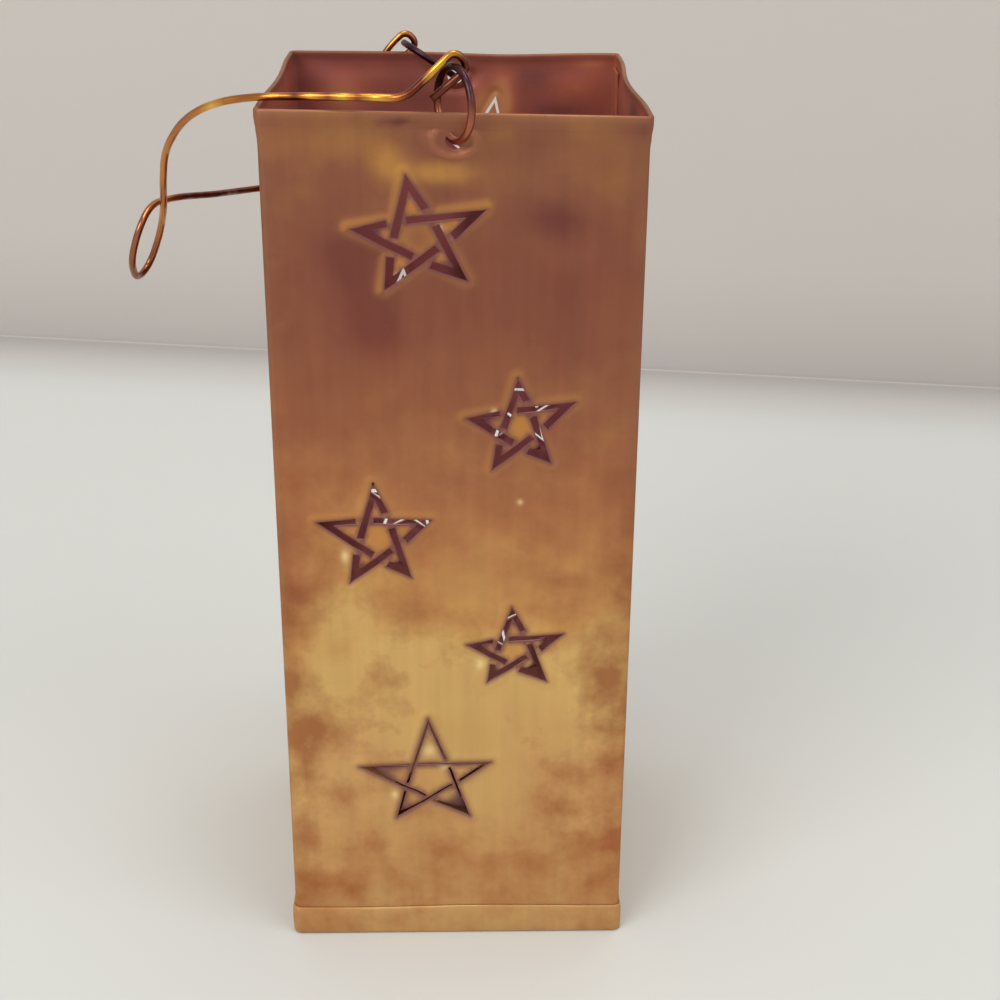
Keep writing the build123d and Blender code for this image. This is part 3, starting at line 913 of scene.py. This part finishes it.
# The flange swells a little outwards, and its top is cut unevenly. Its edges are worn,
# partly painted with a highlight, and it is darker towards the ends of each side.
swell_depth, swell_share = 0.12, 0.8
swell_rise = (0.4, 5)
cut_depth = 0.25
cut_rise = (5, 8.5)
flange = ease(pan_places[:, 2], *swell_rise)
flange *= np.abs(pan_places[:, :2]).max(1) > pan_inner + 0.05
swell = swell_depth * (np.sin(pan_places[:, 0] / 9) + np.cos(pan_places[:, 1] / 7))
pan_places[:, :2] *= 1 + (flange * np.maximum(swell, 0) / wall_half)[:, None] * swell_share
x, y, z = pan_places.T
uneven = 1 + np.sin(x / 11 + 1) * np.cos(y / 13)
pan_places[:, 2] -= cut_depth * ease(z, *cut_rise) * uneven
worn_and_lit = np.exp(-((z - pan_top) / 0.7) ** 2) + 0.8 * np.exp(-((z - 0.5) / 0.5) ** 2)
left_end, right_end = np.exp(-(((x + 38) / 9) ** 2)), np.exp(-(((x - 41) / 6) ** 2))
pan = new_mesh("base_tray", pan_places, pan_faces.tolist(), {
    "worn_and_lit": worn_and_lit, "patina_and_light": 0.2 - 0.6 * left_end - 0.5 * right_end,
})
pan.data.materials.append(copper)
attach(pan, "lantern")
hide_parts("base_pan")


# Candle cup and its rivet
# A pressed cup for a tea light, riveted through the pan. It is newer and cleaner
# than the body, and a little smoked.

# Pressed copper under a thin film of soot: even and warm, with duller patches, whose
# size is in millimetres.
soot_size = 11.11
cup_metal, tree, shader = new_material("pressed_copper_cup")
place = add(tree, "ShaderNodeTexCoord").outputs["Object"]
smoke = add(tree, "ShaderNodeTexNoise", {
    "Vector": place, "Scale": 1 / (soot_size * mm), "Detail": 4.0,
})
soot = add(tree, "ShaderNodeMapRange", {
    "Value": smoke.outputs["Fac"], "From Min": 0.4, "From Max": 0.7,
}).outputs[0]
colour = layered(tree, linear("#b07a4e"), [(soot, 1.0, "#7d4f38")])
tree.links.new(colour, shader.inputs["Base Color"])
shader.inputs["Metallic"].default_value = 0.85
shine = add(tree, "ShaderNodeMapRange", {"Value": soot, "To Min": 0.32, "To Max": 0.55})
tree.links.new(shine.outputs[0], shader.inputs["Roughness"])


def dress(node, name, material, body_name, smooth_below=35):
    """A merged, smooth-shaded copy of a solid's mesh that stands for its node."""
    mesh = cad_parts[node].data.copy()
    mesh.name = name
    obj = bpy.data.objects.new(name, mesh)
    bpy.context.scene.collection.objects.link(obj)
    work = bmesh.new()
    work.from_mesh(mesh)
    bmesh.ops.remove_doubles(work, verts=work.verts, dist=0.000002)
    work.to_mesh(mesh)
    work.free()
    mesh.shade_smooth()
    mesh.set_sharp_from_angle(angle=math.radians(smooth_below))
    mesh.materials.clear()
    mesh.materials.append(material)
    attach(obj, body_name)
    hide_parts(node)


dress("candle_cup", "tealight_cup", cup_metal, "lantern")
dress("cup_rivet", "cup_rivet_head", cup_metal, "lantern")


# Seam rivets
# Three soft copper rivets, hammered to a low dome, hold the lap of the body to its
# right wall. They have the cup's finish.

dress("seam_rivets", "lap_rivets", cup_metal, "lantern")


# Jump rings
# Turns of copper wire closed by hand through a hole under the hem, front and rear.
# They are darker than the handle, partly tarnish and partly painted shade.

# Copper wire painted nearly black and purple, partly tarnish and partly painted shade,
# in patches whose size is in millimetres, with the sheen of drawn wire. The front ring's
# lower part is painted lighter copper, as painted light.
ring_patch_size = 6.25
ring_metal, tree, shader = new_material("tarnished_and_shaded_wire")
place = add(tree, "ShaderNodeTexCoord").outputs["Object"]
cloud = add(tree, "ShaderNodeTexNoise", {
    "Vector": place, "Scale": 1 / (ring_patch_size * mm), "Detail": 3.0,
})
tarnish = add(tree, "ShaderNodeMapRange", {
    "Value": cloud.outputs["Fac"], "From Min": 0.35, "From Max": 0.68,
}).outputs[0]
split = add(tree, "ShaderNodeSeparateXYZ", {0: place}).outputs
# The lower part of the front ring, painted lighter as painted light.
low = add(tree, "ShaderNodeMapRange", {
    "Value": split["Z"], "From Min": 0.233, "From Max": 0.226,
}).outputs[0]
front = add(tree, "ShaderNodeMath", {0: split["Y"], 1: 0.0}, operation="LESS_THAN")
lit_lower_front = add(tree, "ShaderNodeMath", {0: low, 1: front.outputs[0]}, operation="MULTIPLY")
colour = layered(tree, linear("#5e3a3e"), [
    (tarnish, 1.0, "#34222a"), (lit_lower_front.outputs[0], 1.0, "#a8654c"),
])
tree.links.new(colour, shader.inputs["Base Color"])
shader.inputs["Metallic"].default_value = 1.0
shader.inputs["Roughness"].default_value = 0.30
dress("front_ring", "front_jump_ring", ring_metal, "front_ring")
dress("rear_ring", "rear_jump_ring", ring_metal, "rear_ring")


# Handle
# One length of soft copper wire, bent by hand, with a loop in its middle to hang it
# by and a hook closed round each ring. It is painted with gold highlights along it, and
# with shade where it runs behind the body.

# Drawn copper wire: red brown, with spots of painted gold highlight along it, in
# clouds and with dents whose sizes are in millimetres. Its rear arm and the tail of its
# front hook are darkened as painted shade.
handle_cloud_size = 14.29
dent_spacing = 7.692
handle_metal, tree, shader = new_material("drawn_copper_wire")
place = add(tree, "ShaderNodeTexCoord").outputs["Object"]
cloud = add(tree, "ShaderNodeTexNoise", {
    "Vector": place, "Scale": 1 / (handle_cloud_size * mm), "Detail": 3.0,
})
tarnish = add(tree, "ShaderNodeMapRange", {
    "Value": cloud.outputs["Fac"], "From Min": 0.42, "From Max": 0.66,
}).outputs[0]
split = add(tree, "ShaderNodeSeparateXYZ", {0: place}).outputs
along = add(tree, "ShaderNodeMapRange", {
    "Value": split["X"], "From Min": -0.086, "From Max": 0.010,
}).outputs[0]
# Painted gold highlights in spots along the wire, over its red-brown copper.
tone_and_highlights = add(tree, "ShaderNodeValToRGB", {"Fac": along}, stops=[
    (0.00, "#9a6248"), (0.07, "#a46a48"), (0.11, "#c8864c"), (0.27, "#c07c46"),
    (0.305, "#f0bc58"), (0.34, "#c4803f"), (0.43, "#c07838"), (0.46, "#e8a844"),
    (0.52, "#945030"), (0.555, "#e8a844"), (0.60, "#945030"), (0.635, "#f4bc4c"),
    (0.67, "#945030"), (0.71, "#f4bc4c"), (0.76, "#b87036"), (0.79, "#743a2c"),
    (0.82, "#743a2c"), (0.845, "#f0b448"), (0.89, "#e0a040"), (0.92, "#743a2c"),
]).outputs["Color"]

# Behind the middle of the body the wire is darkened as painted shade, most of all below
# the rim.
rearward = add(tree, "ShaderNodeMapRange", {
    "Value": split["Y"], "From Min": 0.004, "From Max": 0.011,
}).outputs[0]
below_rim = add(tree, "ShaderNodeMapRange", {
    "Value": split["Z"], "From Min": 0.232, "From Max": 0.226, "To Min": 0.1, "To Max": 0.9,
}).outputs[0]
rear_shade = add(tree, "ShaderNodeMath", {
    0: rearward, 1: below_rim,
}, operation="MULTIPLY").outputs[0]

# The front hook's tail, darkened as painted shade, lies right of the hook and below the
# line of its leg.
beside_leg = add(tree, "ShaderNodeMath", {
    0: split["X"], 1: -0.888, 2: split["Z"],
}, operation="MULTIPLY_ADD").outputs[0]
below_leg = add(tree, "ShaderNodeMapRange", {
    "Value": beside_leg, "From Min": 0.2385, "From Max": 0.2365,
}).outputs[0]
right_of_hook = add(tree, "ShaderNodeMath", {
    0: split["X"], 1: -0.008,
}, operation="GREATER_THAN").outputs[0]
tail_shade = add(tree, "ShaderNodeMath", {
    0: below_leg, 1: right_of_hook,
}, operation="MULTIPLY").outputs[0]
colour = layered(tree, tone_and_highlights, [
    (tarnish, 0.4, "#7e4630"), (rear_shade, 1.0, "#6b3532"), (tail_shade, 1.0, "#6e3a2e"),
])
tree.links.new(colour, shader.inputs["Base Color"])
shader.inputs["Metallic"].default_value = 1.0
shader.inputs["Roughness"].default_value = 0.27
dents = add(tree, "ShaderNodeTexNoise", {
    "Vector": place, "Scale": 1 / (dent_spacing * mm), "Detail": 1.0,
})
bump = add(tree, "ShaderNodeBump", {
    "Height": dents.outputs["Fac"], "Strength": 0.7, "Distance": 0.0015,
})
tree.links.new(bump.outputs[0], shader.inputs["Normal"])
dress("wire_handle", "bail_wire", handle_metal, "handle")


# Table, wall and light
# A pale table top that fades into a pale wall, lit by large soft lamps. The wall is
# seen only from its front, so that the back of the lantern can be looked at.

# In metres: how far the table and wall reach, the wall's distance behind the
# lantern's middle, its turn, and the radius of the corner between them.
table_reach = 3.0
wall_place = 0.450
wall_turn = math.radians(-9.5)
cove_radius = 0.0008
cove = np.linspace(0, math.pi / 2, 13)
profile = np.concatenate([
    [(-table_reach, 0.0), (wall_place - 0.2, 0.0)],
    np.stack([
        wall_place - cove_radius + cove_radius * np.sin(cove),
        cove_radius - cove_radius * np.cos(cove),
    ], 1),
    [(wall_place, 0.1), (wall_place, table_reach)],
])
stage_places = np.concatenate([
    np.stack([np.full(len(profile), side * table_reach), profile[:, 0], profile[:, 1]], 1)
    for side in (-1, 1)
]) / mm
stage_places[:, :2] = stage_places[:, :2] @ np.array([
    [math.cos(wall_turn), math.sin(wall_turn)],
    [-math.sin(wall_turn), math.cos(wall_turn)],
])
n = len(profile)
k = np.arange(n - 1)
past_corner = np.tile(profile[:, 0] - wall_place + profile[:, 1], 2)
stage_faces = np.stack([k, k + n, k + n + 1, k + 1], 1).tolist()
backdrop = new_mesh(
    "table_and_wall", stage_places, stage_faces, {"past_corner": past_corner}, 80
)

# Matt pale paint: a cool white table that greys towards the corner with painted shade,
# darkest right at it, and a warmer wall.
pale, tree, shader = new_material("pale_paint")
past = add(tree, "ShaderNodeAttribute", attribute_name="past_corner").outputs["Fac"]
share = add(tree, "ShaderNodeMapRange", {
    "Value": past, "From Min": -0.09, "From Max": 0.06,
}).outputs[0]
# Painted shade greys the table towards the corner and is darkest right at it.
colour = add(tree, "ShaderNodeValToRGB", {"Fac": share}, stops=[
    (0.00, "#cfd0cb"), (0.15, "#ccccc7"), (0.40, "#bdb9b4"), (0.58, "#aaa49f"),
    (0.62, "#b9b2ac"), (1.00, "#c3bcb5"),
]).outputs["Color"]
tree.links.new(colour, shader.inputs["Base Color"])
shader.inputs["Roughness"].default_value = 0.8
behind = add(tree, "ShaderNodeMath", {
    0: add(tree, "ShaderNodeNewGeometry").outputs["Backfacing"],
    1: add(tree, "ShaderNodeLightPath").outputs["Is Camera Ray"],
}, operation="MULTIPLY").outputs[0]
unseen = add(tree, "ShaderNodeBsdfTransparent").outputs[0]
one_sided = add(tree, "ShaderNodeMixShader", {
    0: behind, 1: shader.outputs[0], 2: unseen,
}).outputs[0]
tree.links.new(one_sided, tree.nodes["Material Output"].inputs["Surface"])
backdrop.data.materials.append(pale)

world = bpy.data.worlds.new("soft_room")
bpy.context.scene.world = world
world.use_nodes = True
world.node_tree.nodes["Background"].inputs["Color"].default_value = linear("#f2f3f6")
world.node_tree.nodes["Background"].inputs["Strength"].default_value = 0.66


def soft_lamp(name, place, towards, size, power):
    """A square area lamp that faces a place."""
    lamp = bpy.data.objects.new(name, bpy.data.lights.new(name, "AREA"))
    lamp.data.size = size
    lamp.data.energy = power
    aim = unit(np.array(towards, float) - np.array(place, float))
    side = unit(np.cross(aim, (0.0, 0.0, 1.0)))
    up = np.cross(side, aim)
    lamp.matrix_world = Matrix([
        [side[0], up[0], -aim[0], place[0]],
        [side[1], up[1], -aim[1], place[1]],
        [side[2], up[2], -aim[2], place[2]],
        [0.0, 0.0, 0.0, 1.0],
    ])
    bpy.context.scene.collection.objects.link(lamp)


soft_lamp("window", (-1.3, -1.5, 1.5), (0.0, 0.0, 0.1), 1.4, 26.0)
soft_lamp("room", (1.6, -1.2, 1.7), (0.0, 0.0, 0.1), 1.6, 12.0)
soft_lamp("ceiling", (0.05, -0.1, 1.9), (0.0, 0.0, 0.0), 0.7, 9.0)
bpy.context.scene.view_settings.view_transform = "Standard"
